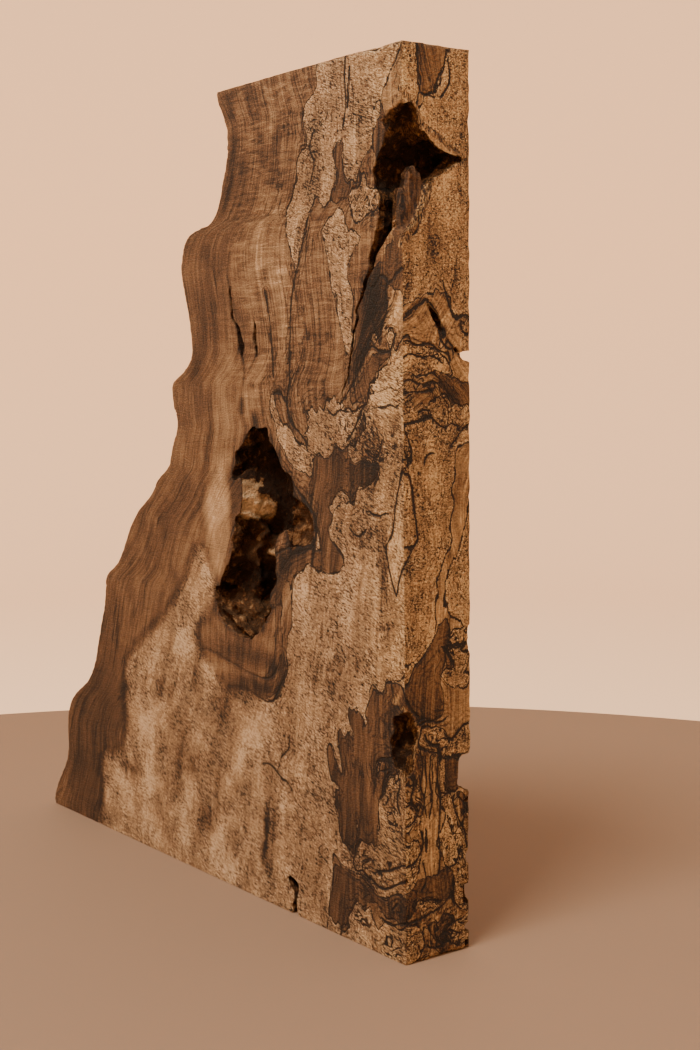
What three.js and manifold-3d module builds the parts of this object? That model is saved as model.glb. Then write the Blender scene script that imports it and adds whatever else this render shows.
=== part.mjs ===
// A thick upright slab sawn from a spalted maple burl: one piece of wood with a wavy live edge on its left,
// four sawn faces, a bark pocket in the front face, a hollow through the front right corner and a broken
// back edge. Millimetres, +Z up. The origin is at the middle of the bottom face's bounding box. The broad
// front face looks towards -Y and the narrow sawn edge towards +X.
import * as THREE from "three";
import { mergeVertices } from "three/addons/utils/BufferGeometryUtils.js";
import Module from "manifold-3d";

const wasm = await Module();
wasm.setup();

const slabWidth = 468;
const slabHeight = 540;
const slabThickness = 51;
const right = slabWidth / 2;
const left = -slabWidth / 2;
const front = -slabThickness / 2;
const back = slabThickness / 2;
const proud = 6; // how far a cutter stands out of the face that it cuts
const thicknessSteps = 5; // layers of the live edge between the front and the back face
const spanPoints = 3; // points on each stretch of a curved outline

// Points of the live edge on the front face as [x, z], from the top of the slab down to its foot.
const liveEdge = [
  [36, 540], [41, 529], [49, 516], [49, 500], [44, 482], [37, 466], [27, 455], [12, 452], [-3, 448],
  [-11, 438], [-13, 424], [-8, 407], [-3, 390], [-1, 368], [-12, 356], [-28, 347], [-27, 334],
  [-22, 318], [-30, 304], [-36, 288], [-52, 278], [-64, 265], [-86, 250], [-100, 231], [-116, 211],
  [-133, 200], [-137, 182], [-147, 153], [-156, 131], [-171, 112], [-194, 97], [-205, 78], [-208, 46],
  [-222, 26], [-234, 8], [-234, 0],
];

// The hollows of the front face, each an outline as [x, z] and the depth to which it is cut.
const barkPocket = {
  depth: 15,
  outline: [
    [78, 317], [94, 314], [105, 300], [118, 286], [119, 262], [103, 247], [97, 232], [95, 206],
    [84, 187], [66, 178], [44, 183], [27, 197], [24, 208], [40, 217], [47, 240], [49, 264],
    [48, 285], [60, 304],
  ],
};
const pocketHeart = {
  depth: 27,
  outline: [
    [79, 308], [92, 304], [102, 288], [108, 272], [95, 254], [87, 232], [84, 208], [73, 193],
    [55, 190], [44, 199], [53, 218], [59, 240], [60, 268], [61, 288],
  ],
};
const longSlit = {
  depth: 9,
  outline: [[47, 412], [51, 411], [54, 392], [65, 380], [66, 366], [60, 364], [55, 381], [48, 396]],
};
const shortSlit = { depth: 7, outline: [[76, 388], [80, 387], [83, 374], [83, 362], [78, 363], [75, 376]] };
const footCrack = { depth: 12, outline: [[107, 24], [121, 22], [120, 8], [121, -3], [116, -3], [115, 15]] };
const wedgeCrack = {
  depth: 14,
  outline: [
    [222, 462], [228, 450], [221, 434], [210, 417], [203, 407], [194, 392], [189, 372], [182, 352],
    [176, 336], [171, 336], [177, 353], [184, 372], [189, 393], [197, 409], [206, 428], [213, 446],
  ],
};
const faceCuts = [barkPocket, pocketHeart, longSlit, shortSlit, footCrack, wedgeCrack];

// The corner hollow is seen on the narrow edge as [y, z] and on the front face as [x, z].
const cornerHollowEdge = [
  [-32, 508], [-19, 507], [-9, 493], [4, 487], [13, 481], [20, 479], [32, 478.5], [32, 475.5],
  [20, 475], [12, 472], [-3, 463], [-9, 449], [-17, 436], [-32, 428],
];
const cornerHollowFace = [
  [205, 470], [213, 452], [212, 436], [218, 426], [229, 431], [244, 425], [244, 512], [229, 503], [218, 490],
];
const cornerHollowReach = 38; // into the wood from the narrow edge

// The smaller cuts of the narrow edge as [y, z], and how far each goes in: the rotten pocket at the front
// corner, the arched crack, then the bites broken out of the back corner.
const edgeCuts = [
  { reach: 13, outline: [[-32, 157], [-24, 152], [-18, 145], [-18, 130], [-22, 117], [-32, 113]] },
  {
    reach: 12,
    outline: [
      [-32, 382], [-24, 386], [-9, 396.5], [-3, 391], [6.5, 376], [17, 364.5], [32, 365], [32, 355.5],
      [24, 359], [15, 362], [4, 373.5], [-4, 386], [-9, 393.5], [-23, 383.5], [-32, 379.5],
    ],
  },
  { reach: 16, outline: [[16.5, 120.5], [32, 122], [32, 97], [21, 99], [14.5, 103], [15.5, 112]] },
  { reach: 6, outline: [[21, 62], [32, 64], [32, 51], [22.5, 53]] },
  { reach: 5, outline: [[22.5, 22], [32, 24], [32, 13], [24, 15]] },
  { reach: 4, outline: [[23.5, 200], [32, 204], [32, 189], [22.5, 193]] },
];

// How far the live edge lies to the right of its front outline, at a depth (0 front, 1 back) and a height.
function liveEdgeShift(depth, z) {
  const swell = 6 * Math.sin(Math.PI * depth);
  const lean = 11 + 7 * Math.sin(z / 43 + 0.6) + 4 * Math.sin(z / 17);
  return lean * depth - swell * Math.sin(z / 61 + 1.1) ** 2;
}

const vectors = (points) => points.map(([a, b]) => new THREE.Vector2(a, b));

// A closed smooth outline through the points.
function smoothShape(points) {
  const places = points.map(([a, b]) => new THREE.Vector3(a, b, 0));
  const curve = new THREE.CatmullRomCurve3(places, true, "centripetal");
  const round = curve.getPoints(points.length * spanPoints).slice(0, -1);
  return new THREE.Shape(round.map((p) => new THREE.Vector2(p.x, p.y)));
}

function prism(shape, length) {
  return new THREE.ExtrudeGeometry(shape, { depth: length, bevelEnabled: false });
}

// Stands a prism drawn as [x, z] against the front face, cutting from outside it to the depth.
function intoFront(shape, depth) {
  return prism(shape, depth + proud).rotateX(Math.PI / 2).translate(0, front + depth, 0);
}

// Stands a prism drawn as [y, z] against the narrow edge, cutting from outside it to the reach.
function intoEdge(outline, reach) {
  return prism(new THREE.Shape(vectors(outline)), reach + proud)
    .rotateX(Math.PI / 2)
    .rotateZ(Math.PI / 2)
    .translate(right - reach, 0, 0);
}

function toSolid(geometry) {
  const bare = geometry.index ? geometry.toNonIndexed() : geometry.clone();
  bare.deleteAttribute("normal");
  bare.deleteAttribute("uv");
  const merged = mergeVertices(bare, 1e-3);
  return new wasm.Manifold(
    new wasm.Mesh({
      numProp: 3,
      vertProperties: merged.attributes.position.array,
      triVerts: new Uint32Array(merged.index.array),
    }),
  );
}

function toGeometry(solid) {
  const mesh = solid.getMesh();
  const geometry = new THREE.BufferGeometry();
  geometry.setAttribute("position", new THREE.BufferAttribute(new Float32Array(mesh.vertProperties), 3));
  geometry.setIndex(new THREE.BufferAttribute(new Uint32Array(mesh.triVerts), 1));
  geometry.computeVertexNormals();
  return geometry;
}

// The sawn board with its live edge, which leans and swells from the front face to the back.
function board() {
  const shape = new THREE.Shape();
  shape.moveTo(left, 0);
  shape.lineTo(right, 0);
  shape.lineTo(right, slabHeight);
  shape.lineTo(liveEdge[0][0], slabHeight);
  shape.splineThru(vectors(liveEdge.slice(1)));
  const geometry = new THREE.ExtrudeGeometry(shape, {
    depth: slabThickness,
    steps: thicknessSteps,
    bevelEnabled: false,
    curveSegments: spanPoints,
  })
    .rotateX(Math.PI / 2)
    .translate(0, back, 0);
  const places = geometry.attributes.position;
  for (let i = 0; i < places.count; i++) {
    const x = places.getX(i);
    if (x > right - 1) continue;
    const depth = (places.getY(i) - front) / slabThickness;
    places.setX(i, Math.max(left, x + liveEdgeShift(depth, places.getZ(i))));
    places.setZ(i, THREE.MathUtils.clamp(places.getZ(i), 0, slabHeight));
  }
  return toSolid(geometry);
}

// The corner hollow is where the prism from the narrow edge and the one from the front face meet.
function cornerHollow() {
  const fromEdge = toSolid(intoEdge(cornerHollowEdge, cornerHollowReach));
  const fromFace = toSolid(intoFront(new THREE.Shape(vectors(cornerHollowFace)), slabThickness + proud));
  return fromEdge.intersect(fromFace);
}

function slab() {
  let solid = board();
  for (const cut of faceCuts) solid = solid.subtract(toSolid(intoFront(smoothShape(cut.outline), cut.depth)));
  solid = solid.subtract(cornerHollow());
  for (const cut of edgeCuts) solid = solid.subtract(toSolid(intoEdge(cut.outline, cut.reach)));
  return toGeometry(solid);
}

const spaltedMaple = new THREE.MeshStandardMaterial({ color: 0x9a7350, roughness: 0.85, metalness: 0 });

const burlSlab = new THREE.Mesh(slab(), spaltedMaple);
burlSlab.name = "burl_slab";

const mapleBurl = new THREE.Group();
mapleBurl.add(burlSlab);

export default mapleBurl;
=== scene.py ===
import math

import bpy
import numpy as np
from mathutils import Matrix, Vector


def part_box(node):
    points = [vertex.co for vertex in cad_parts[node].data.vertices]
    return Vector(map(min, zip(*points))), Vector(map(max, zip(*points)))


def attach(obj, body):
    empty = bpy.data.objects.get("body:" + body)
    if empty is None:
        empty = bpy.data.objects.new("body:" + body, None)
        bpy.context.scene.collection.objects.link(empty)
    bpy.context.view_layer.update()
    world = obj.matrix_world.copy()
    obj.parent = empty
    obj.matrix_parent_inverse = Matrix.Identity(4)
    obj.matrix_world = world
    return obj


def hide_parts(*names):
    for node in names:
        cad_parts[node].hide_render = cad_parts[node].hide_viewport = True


# A slab of spalted maple burl standing on its foot. Metres, +Z up, the broad front face towards -Y and the
# narrow sawn edge towards +X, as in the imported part. Outlines below are in millimetres and are scaled once.

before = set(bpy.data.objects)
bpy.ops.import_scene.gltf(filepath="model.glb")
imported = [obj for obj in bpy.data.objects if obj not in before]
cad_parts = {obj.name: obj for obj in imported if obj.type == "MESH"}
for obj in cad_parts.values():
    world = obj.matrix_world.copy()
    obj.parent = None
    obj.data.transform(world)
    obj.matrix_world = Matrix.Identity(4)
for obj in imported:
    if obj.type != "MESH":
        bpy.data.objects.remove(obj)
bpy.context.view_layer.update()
slabLow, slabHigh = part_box("burl_slab")
mm = 0.001
tiny = 1e-12  # stands in for a length of nothing
seedStep = 7.31  # moves the noise of each seed to another place


def asMetres(points):
    return np.array(points, float) * mm


def smoothLine(points, closed=True, steps=5):
    # a rounded line through the points
    p = asMetres(points)
    n = len(p)
    spans = n if closed else n - 1
    t = (np.arange(steps) / steps)[:, None]
    out = []
    for i in range(spans):
        if closed:
            a, b, c, d = (p[(i + k) % n] for k in (-1, 0, 1, 2))
        else:
            a, b, c, d = (p[min(max(i + k, 0), n - 1)] for k in (-1, 0, 1, 2))
        bent = 2 * b + (c - a) * t + (2 * a - 5 * b + 4 * c - d) * t ** 2 + (3 * b - a - 3 * c + d) * t ** 3
        out.append(0.5 * bent)
    if not closed:
        out.append(p[-1:])
    return np.concatenate(out)


def lineDistance(where, line, closed, reach):
    # distance to the line, no further than reach, and whether each place is inside it
    far = np.full(len(where), reach)
    inside = np.zeros(len(where), bool)
    low, high = line.min(0) - reach, line.max(0) + reach
    near = np.nonzero(((where > low) & (where < high)).all(1))[0]
    if not len(near):
        return far, inside
    p = where[near]
    best = np.full(len(near), reach ** 2)
    odd = np.zeros(len(near), bool)
    ends = np.roll(line, -1, 0) if closed else line[1:]
    for a, b in zip(line, ends):
        along = b - a
        size = max(float(along @ along), tiny)
        t = np.clip(((p - a) @ along) / size, 0, 1)
        gap = p - a - t[:, None] * along
        best = np.minimum(best, (gap ** 2).sum(1))
        if closed:
            crosses = (a[1] > p[:, 1]) != (b[1] > p[:, 1])
            side = (b[0] - a[0]) * (p[:, 1] - a[1]) / (b[1] - a[1] if b[1] != a[1] else tiny) + a[0]
            odd ^= crosses & (p[:, 0] < side)
    far[near] = np.sqrt(best)
    inside[near] = odd
    return far, inside


def patchField(where, outlines, reach=0.02):
    # signed distance to the joined patches, positive inside
    field = np.full(len(where), -reach)
    for outline in outlines:
        far, inside = lineDistance(where, smoothLine(outline), True, reach)
        field = np.maximum(field, np.where(inside, far, -far))
    return field


def lineField(where, lines, reach=0.02):
    field = np.full(len(where), reach)
    for line in lines:
        far, _ = lineDistance(where, smoothLine(line, closed=False), False, reach)
        field = np.minimum(field, far)
    return field


def lineSides(where, lines, reach):
    # distance to the nearest line, negative on one side of it
    field = np.full(len(where), reach)
    for line in lines:
        points = smoothLine(line, closed=False)
        low, high = points.min(0) - reach, points.max(0) + reach
        near = np.nonzero(((where > low) & (where < high)).all(1))[0]
        for a, b in zip(points, points[1:]):
            along = b - a
            offset = where[near] - a
            t = np.clip(offset @ along / max(float(along @ along), tiny), 0, 1)
            gap = offset - t[:, None] * along
            far = np.hypot(gap[:, 0], gap[:, 1])
            side = np.where(along[0] * offset[:, 1] > along[1] * offset[:, 0], 1.0, -1.0)
            closer = far < np.abs(field[near])
            field[near[closer]] = (far * side)[closer]
    return field


def smoothNoise(where, size, seed):
    # smooth noise between -1 and 1, the same on every run
    q = where / size + seed * seedStep
    cell = np.floor(q).astype(np.int64)
    f = q - cell
    f = f * f * (3 - 2 * f)
    total = np.zeros(len(where))
    for corner in range(8):
        step = np.array([corner & 1, corner >> 1 & 1, corner >> 2 & 1])
        c = cell + step
        # the corner's cell is scattered into a whole number by large odd numbers
        n = (c[:, 0] * 73856093) ^ (c[:, 1] * 19349663) ^ (c[:, 2] * 83492791) ^ (seed * 2654435)
        n = n & 0xFFFFFF
        n = (n * (n * n % 15731 + 789221) + 1376312589) & 0x7FFFFFFF
        weight = np.where(step, f, 1 - f).prod(1)
        total += weight * (n / 0x7FFFFFFF)
    return total * 2 - 1


def ramp(value, low, high):
    t = np.clip((value - low) / (high - low), 0, 1)
    return t * t * (3 - 2 * t)


def layered(where, layers, shift=0):
    # noises added up, each with its height, its size and its seed
    return sum(height * smoothNoise(where, size, seed + shift) for height, size, seed in layers)


def around(where, outlines, width):
    # 1 inside the outlines, fading away outside them
    outside = np.maximum(-patchField(where, outlines), 0)
    return np.exp(-(outside / width) ** 2)


def pick(piece):
    bpy.ops.object.select_all(action="DESELECT")
    piece.select_set(True)
    bpy.context.view_layer.objects.active = piece


def places(piece):
    flat = np.zeros(len(piece.data.vertices) * 3, np.float32)
    piece.data.vertices.foreach_get("co", flat)
    return flat.reshape(-1, 3).astype(float)


def facings(piece):
    flat = np.zeros(len(piece.data.vertices) * 3, np.float32)
    piece.data.vertices.foreach_get("normal", flat)
    return flat.reshape(-1, 3).astype(float)


def moveTo(piece, where):
    piece.data.vertices.foreach_set("co", where.astype(np.float32).ravel())
    piece.data.update()


def remesh(piece, size):
    pick(piece)
    modifier = piece.modifiers.new("evenGrid", "REMESH")
    modifier.mode = "VOXEL"
    modifier.voxel_size = size
    modifier.adaptivity = 0
    bpy.ops.object.modifier_apply(modifier=modifier.name)


def keepInBox(where):
    return np.clip(where, np.array(slabLow), np.array(slabHigh))


# The slab's shape: sizes in metres, outlines in millimetres as x, z on the broad front face.
slabShape = {
    "coarseGrid": 0.0017,
    "fineGrid": 0.0014,
    "snap": 0.0011,  # how near a sawn face a point is laid flat on it
    "faceGap": 0.00002,  # how near a sawn face a point counts as on it
    "weld": 0.00001,  # points nearer than this become one
    "liveSkin": 0.03,  # how far in from the living edge the wood counts as its skin
    "busyFront": 0.03,  # right of here the front keeps more of its points
    "busyEdge": 0.03,  # so does the whole slab, this near the narrow edge
    "quietFactor": 400,  # how much sooner the other places lose theirs
    "mostTriangles": 188000,
    "smoothAngle": 50,  # degrees
    "liveEdge": [
        (36, 540), (41, 529), (49, 516), (49, 500), (44, 482), (37, 466), (27, 455), (12, 452), (-3, 448),
        (-11, 438), (-13, 424), (-8, 407), (-3, 390), (-1, 368), (-12, 356), (-28, 347), (-27, 334),
        (-22, 318), (-30, 304), (-36, 288), (-52, 278), (-64, 265), (-86, 250), (-100, 231), (-116, 211),
        (-133, 200), (-137, 182), (-147, 153), (-156, 131), (-171, 112), (-194, 97), (-205, 78),
        (-208, 46), (-222, 26), (-234, 8), (-234, 0),
    ],
    "pocket": [
        (78, 317), (94, 314), (105, 300), (118, 286), (119, 262), (103, 247), (97, 232), (95, 206), (84, 187),
        (66, 178), (44, 183), (27, 197), (24, 208), (40, 217), (47, 240), (49, 264), (48, 285), (60, 304),
    ],
    # the hollows of the narrow edge, seen on it as y, z
    "cornerVoid": [
        (-32, 508), (-19, 507), (-9, 493), (4, 487), (13, 481), (20, 479), (32, 478), (32, 476), (20, 475),
        (12, 472), (-3, 463), (-9, 449), (-17, 436), (-32, 428),
    ],
    "rotPocket": [(-32, 157), (-24, 152), (-18, 145), (-18, 130), (-22, 117), (-32, 113)],
    # a brown splinter left standing in the corner hollow, as y, z, and how far it reaches along x
    "splinter": [
        (-24, 420), (-24, 446), (-22.5, 460), (-20, 452), (-18, 467), (-16, 458), (-13, 475), (-10.5, 462),
        (-8, 469), (-6, 460), (2, 463), (-5, 446), (-13, 431), (-19, 420),
    ],
    "splinterReach": (222, 230.5),
    # wood that narrows the hollow from above, also as y, z
    "lip": [
        (-14, 503), (-12, 495), (-9, 490), (-5, 485.5), (-1, 483), (5, 480), (10, 478.5), (22, 478.5),
        (24, 486), (8, 494), (-4, 502),
    ],
    "lipReach": (206, 234),
    # the crack and the slits close up towards their ends: x, z, share of the width that is left
    "narrowings": [
        {
            "deep": 18,
            "line": [
                (173.5, 334, 0.12), (179.5, 352, 0.25), (186.5, 372, 0.35), (191.5, 392, 0.45),
                (200, 408, 0.6), (208, 423, 0.8), (214, 434, 1), (220, 450, 1),
            ],
        },
        {
            "deep": 13,
            "line": [
                (63, 362, 0.3), (62, 372, 0.8), (58, 381, 0.6), (53, 390, 0.7), (50, 400, 0.6),
                (49, 413, 0.2),
            ],
        },
        {"deep": 11, "line": [(80.5, 361, 0.3), (79, 375, 0.6), (78, 389, 0.2)]},
    ],
    # shallow hollows of the front face: the pocket's lower lobe, a rotten bowl, a torn patch at the corner
    "lobe": [
        (25, 206), (25, 196), (30, 187), (42, 180), (58, 176), (72, 178), (84, 187), (93, 200), (78, 208),
        (50, 214),
    ],
    "bowl": [
        (116, 273), (128, 273), (136, 269), (143, 262), (144, 255), (142, 248), (136, 244), (126, 241),
        (114, 242),
    ],
    "tornPatch": [(212, 498), (218, 488), (216, 474), (222, 466), (238, 466), (238, 505), (226, 504)],
    # each with its depth and the width of its bank
    "scoops": [("bowl", 0.005, 0.004), ("lobe", 0.008, 0.0025), ("tornPatch", 0.003, 0.004)],
    # lumps of bark left standing in the pocket: x, z, how wide, how tall, how far they rise
    "barkLumps": [
        (55, 270, 14, 15, 26), (72, 233, 17, 5, 9), (97, 248, 9, 4, 5), (84, 295, 9, 8, 7),
        (55, 205, 12, 7, -4), (92, 270, 8, 10, 6), (66, 192, 10, 5, 5),
    ],
}

# How the slab is torn, crumbled and worn, in metres. A noise layer is its height, its size and its seed.
slabWear = {
    "tear": [(0.0042, 0.012, 51), (0.0026, 0.0055, 61)],
    "pocketTear": 0.006,  # how far round the pocket its rim is torn
    "edgeTear": 0.005,
    "edgeTears": [("cornerVoid", 0.4), ("rotPocket", 1.1)],  # how strongly each is torn
    "faceTear": 0.3,
    "lumps": [(0.0036, 0.012, 3), (0.0022, 0.0055, 4)],
    "crumbs": [(0.0013, 0.0034, 21), (0.0007, 0.0018, 22)],
    "scoopOutline": [(0.0012, 0.006, 71)],
    "scoopFloor": [(0.5, 0.005, 72)],
    "jags": [(0.0022, 0.008, 75), (0.0014, 0.0034, 76)],
    "chips": [(1, 0.010, 81), (0.6, 0.004, 82)],
    "blocks": [(1, 0.012, 84), (0.35, 0.005, 85)],
    "slight": 0.0006,  # what every sawn edge loses
    "slightWave": [(0.0006, 0.006, 83)],
    "slightChips": 0.0007,
    "spared": {"tear": 0.8, "lumps": 0.85, "crumbs": 0.7},  # how much of it the splinter is spared
}


def liveEdgeAt(z):
    # how far left the wood reaches at a height
    points = np.array(slabShape["liveEdge"][::-1], float) * mm
    return np.interp(z, points[:, 1], points[:, 0])


def hollowDepth(where):
    # how far a point lies below the sawn faces, zero along the live edge
    x, y, z = where.T
    gaps = np.stack([y - slabLow[1], slabHigh[1] - y, slabHigh[0] - x, z - slabLow[2], slabHigh[2] - z])
    return np.where(x > liveEdgeAt(z) + slabShape["liveSkin"], gaps.min(0), 0)


def layFlat(where):
    # sawn faces are flat: what is almost on one is put on it
    snap = slabShape["snap"]
    for axis in range(3):
        for limit in (slabLow[axis], slabHigh[axis]):
            if axis == 0 and limit == slabLow[0]:
                continue
            close = np.abs(where[:, axis] - limit) < snap
            where[close, axis] = limit
    return where


def onFaces(where):
    # for each axis, whether a point lies on one of the sawn faces across it
    flat = np.zeros(where.shape, bool)
    for axis in range(3):
        for limit in (slabLow[axis], slabHigh[axis]):
            flat[:, axis] |= np.abs(where[:, axis] - limit) < slabShape["faceGap"]
    return flat


def splinterShare(where):
    # 1 on the splinter, which stays straighter than the hollow round it
    inside = patchField(where[:, [1, 2]], [slabShape["splinter"]], 0.006)
    return ramp(inside, -0.003, 0) * ramp(where[:, 0], 0.2195, 0.2215)


def tearRims(piece):
    # the hollows have ragged outlines
    where = places(piece)
    x, y = where[:, 0], where[:, 1]
    near = around(where[:, [0, 2]], [slabShape["pocket"]], slabWear["pocketTear"])
    near *= ramp(-y, -0.012, 0)
    atEdge = ramp(x, 0.18, 0.2) * ramp(-y, -0.012, 0.002)
    for name, share in slabWear["edgeTears"]:
        ring = around(where[:, [1, 2]], [slabShape[name]], slabWear["edgeTear"])
        near = np.maximum(near, share * ring * atEdge)
    near = np.maximum(near, slabWear["faceTear"] * ramp(x, 0.02, 0.05) * ramp(-y, 0, 0.01))
    push = np.stack([layered(where, slabWear["tear"], axis) for axis in range(3)], 1)
    push[onFaces(where)] = 0
    near *= 1 - slabWear["spared"]["tear"] * splinterShare(where)
    moveTo(piece, keepInBox(where + push * near[:, None]))


def roughenHollows(piece):
    # the hollows are lumpy, and some bark is left standing in the pocket
    where = places(piece)
    out = facings(piece)
    depth = hollowDepth(where)
    soft = ramp(depth, 0.0006, 0.005) * (1 - slabWear["spared"]["lumps"] * splinterShare(where))
    where = where + out * (layered(where, slabWear["lumps"]) * soft)[:, None]
    inPocket = patchField(where[:, [0, 2]], [slabShape["pocket"]]) > 0.001
    inPocket &= (where[:, 1] > slabLow[1] + 0.004) & (where[:, 1] < 0.012)
    rise = np.zeros(len(where))
    for x, z, wide, tall, height in slabShape["barkLumps"]:
        off = ((where[:, 0] - x * mm) / (wide * mm)) ** 2 + ((where[:, 2] - z * mm) / (tall * mm)) ** 2
        rise += height * mm * np.exp(-off ** 1.5)
    where[inPocket, 1] -= rise[inPocket]
    moveTo(piece, keepInBox(where))


def scoopFace(piece):
    # sinks the shallow hollows into the front face
    where = places(piece)
    front = where[:, 1] < slabLow[1] + 0.0005
    for name, depth, bank in slabShape["scoops"]:
        inside = patchField(where[:, [0, 2]], [slabShape[name]]) + layered(where, slabWear["scoopOutline"])
        sink = depth * ramp(inside, 0, bank) * (1 + layered(where, slabWear["scoopFloor"]))
        where[front, 1] += sink[front]
    moveTo(piece, where)


def closeCracks(piece):
    # the long crack and the slits grow jagged and close up towards their ends
    where = places(piece)
    x, y, z = where.T
    jag = layered(np.stack([x * 0, y * 0, z], 1), slabWear["jags"])
    for crack in slabShape["narrowings"]:
        middle, height, left = np.array(crack["line"], float).T
        order = np.argsort(height)
        keep = np.interp(z, height[order] * mm, left[order])
        off = x - np.interp(z, height[order] * mm, middle[order] * mm)
        foot, top = height.min() * mm, height.max() * mm
        near = 1 - ramp(np.abs(off), 0.004, 0.013)
        near *= ramp(z, foot - 0.008, foot) * ramp(-z, -top - 0.006, -top)
        near *= ramp(-y, -slabLow[1] - (crack["deep"] + 4) * mm, -slabLow[1] - crack["deep"] * mm)
        x += near * (jag * (1.3 - keep) - (1 - keep) * off)
    moveTo(piece, keepInBox(where))


def rippleLiveEdge(piece):
    where = places(piece)
    out = facings(piece)
    side = ramp(-out[:, 0], 0.25, 0.7)
    side = side * (where[:, 0] < liveEdgeAt(where[:, 2]) + slabShape["liveSkin"])
    side *= ramp(np.minimum(where[:, 2], slabHigh[2] - where[:, 2]), 0, 0.006)
    across = np.stack([where[:, 0] * 0.35, where[:, 1], where[:, 2]], 1)
    ripple = 0.0011 * smoothNoise(across, 0.011, 11) + 0.0007 * smoothNoise(where, 0.0045, 12)
    ripple += 0.0016 * smoothNoise(where, 0.028, 13)
    moveTo(piece, keepInBox(where + out * (ripple * side)[:, None]))


def crumble(piece):
    # fine tearing inside the hollows
    where = places(piece)
    out = facings(piece)
    depth = hollowDepth(where)
    amount = ramp(depth, 0.0005, 0.002) * (1 - slabWear["spared"]["crumbs"] * splinterShare(where))
    where = where + out * (layered(where, slabWear["crumbs"]) * amount)[:, None]
    moveTo(piece, keepInBox(where))


# a sawn face: its axis, and whether it is the one at the axis's high end
rightFace = (0, True)
frontFace = (1, False)
backFace = (1, True)
footFace = (2, False)
topFace = (2, True)


def wearEdge(where, faceA, faceB, worn):
    # takes the sharp corner off where two faces meet, by an amount for each point
    sides = []
    for axis, high in (faceA, faceB):
        sides.append((axis, slabHigh[axis], -1) if high else (axis, slabLow[axis], 1))
    gapA, gapB = ((where[:, axis] - limit) * sign for axis, limit, sign in sides)
    short = np.maximum(worn - gapA - gapB, 0) / 2
    for axis, _, sign in sides:
        where[:, axis] += sign * short


def wearEdges(piece):
    # the sawn edges are worn, and the lower part of the back corner is broken away in blocks
    where = places(piece)
    x, z = where[:, 0], where[:, 2]
    chips = np.clip(layered(where, slabWear["chips"]) - 0.1, 0, 1)
    blocks = np.round(2 * np.clip(layered(where, slabWear["blocks"]), 0, 1)) / 2
    slight = slabWear["slight"] + layered(where, slabWear["slightWave"]) + slabWear["slightChips"] * chips
    low = ramp(-z, -0.13, -0.11)
    bite = ramp(-np.abs(z - 0.19), -0.012, 0)  # one more chip above the broken part
    broken = (0.0015 + 0.009 * blocks + 0.003 * chips) * low + 0.005 * chips * bite
    wearEdge(where, rightFace, backFace, slight + broken)
    wearEdge(where, rightFace, frontFace, slight * (1 + 1.5 * ramp(z, 0.5, 0.53) + ramp(-z, -0.11, -0.09)))
    wearEdge(where, topFace, frontFace, slight * (0.5 + 2.0 * ramp(x, 0.18, 0.215)))
    wearEdge(where, topFace, rightFace, slight * 1.6)
    wearEdge(where, topFace, backFace, slight)
    wearEdge(where, footFace, frontFace, slight * 0.6)
    wearEdge(where, footFace, rightFace, slight * 2)
    moveTo(piece, keepInBox(where))


def thin(piece):
    # the back, the ends and the left of the front can do with fewer points
    pick(piece)
    piece.data.calc_loop_triangles()
    count = len(piece.data.loop_triangles)
    where = places(piece)
    out = facings(piece)
    busy = (out[:, 1] < -0.5) & (where[:, 0] > slabShape["busyFront"])
    busy |= where[:, 0] > slabHigh[0] - slabShape["busyEdge"]
    group = piece.vertex_groups.new(name="quiet")
    group.add([int(i) for i in np.nonzero(~busy)[0]], 1, "REPLACE")
    group.add([int(i) for i in np.nonzero(busy)[0]], 0.5, "REPLACE")
    modifier = piece.modifiers.new("thin", "DECIMATE")
    modifier.ratio = min(slabShape["mostTriangles"] / count, 1)
    modifier.vertex_group = group.name
    modifier.vertex_group_factor = slabShape["quietFactor"]
    bpy.ops.object.modifier_apply(modifier=modifier.name)
    piece.vertex_groups.clear()
    piece.data.calc_loop_triangles()
    print("slab triangles", count, "thinned to", len(piece.data.loop_triangles))


def addWood(piece, name, outline, reach):
    # a plank with an outline on the narrow edge and a reach along x, joined to the slab
    outline = smoothLine(outline, steps=2)
    x0, x1 = (x * mm for x in reach)
    count = len(outline)
    points = [(x0, y, z) for y, z in outline] + [(x1, y, z) for y, z in outline]
    sides = [(i, (i + 1) % count, count + (i + 1) % count, count + i) for i in range(count)]
    ends = [tuple(range(count - 1, -1, -1)), tuple(range(count, 2 * count))]
    mesh = bpy.data.meshes.new(name)
    mesh.from_pydata(points, [], sides + ends)
    plank = bpy.data.objects.new(name, mesh)
    bpy.context.scene.collection.objects.link(plank)
    pick(plank)
    bpy.ops.object.mode_set(mode="EDIT")
    bpy.ops.mesh.select_all(action="SELECT")
    bpy.ops.mesh.normals_make_consistent(inside=False)
    bpy.ops.object.mode_set(mode="OBJECT")
    pick(piece)
    plank.select_set(True)
    bpy.ops.object.join()


def makeSlab():
    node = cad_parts["burl_slab"]
    piece = bpy.data.objects.new("burlWood", node.data.copy())
    bpy.context.scene.collection.objects.link(piece)
    pick(piece)
    bpy.ops.object.mode_set(mode="EDIT")
    bpy.ops.mesh.select_all(action="SELECT")
    bpy.ops.mesh.remove_doubles(threshold=slabShape["weld"])
    bpy.ops.object.mode_set(mode="OBJECT")
    piece.data.materials.clear()
    addWood(piece, "splinter", slabShape["splinter"], slabShape["splinterReach"])
    addWood(piece, "lip", slabShape["lip"], slabShape["lipReach"])
    remesh(piece, slabShape["coarseGrid"])
    moveTo(piece, layFlat(places(piece)))
    tearRims(piece)
    roughenHollows(piece)
    remesh(piece, slabShape["fineGrid"])
    moveTo(piece, layFlat(places(piece)))
    rippleLiveEdge(piece)
    crumble(piece)
    closeCracks(piece)
    scoopFace(piece)
    wearEdges(piece)
    thin(piece)
    pick(piece)
    bpy.ops.object.shade_smooth_by_angle(angle=math.radians(slabShape["smoothAngle"]))
    return piece


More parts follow.
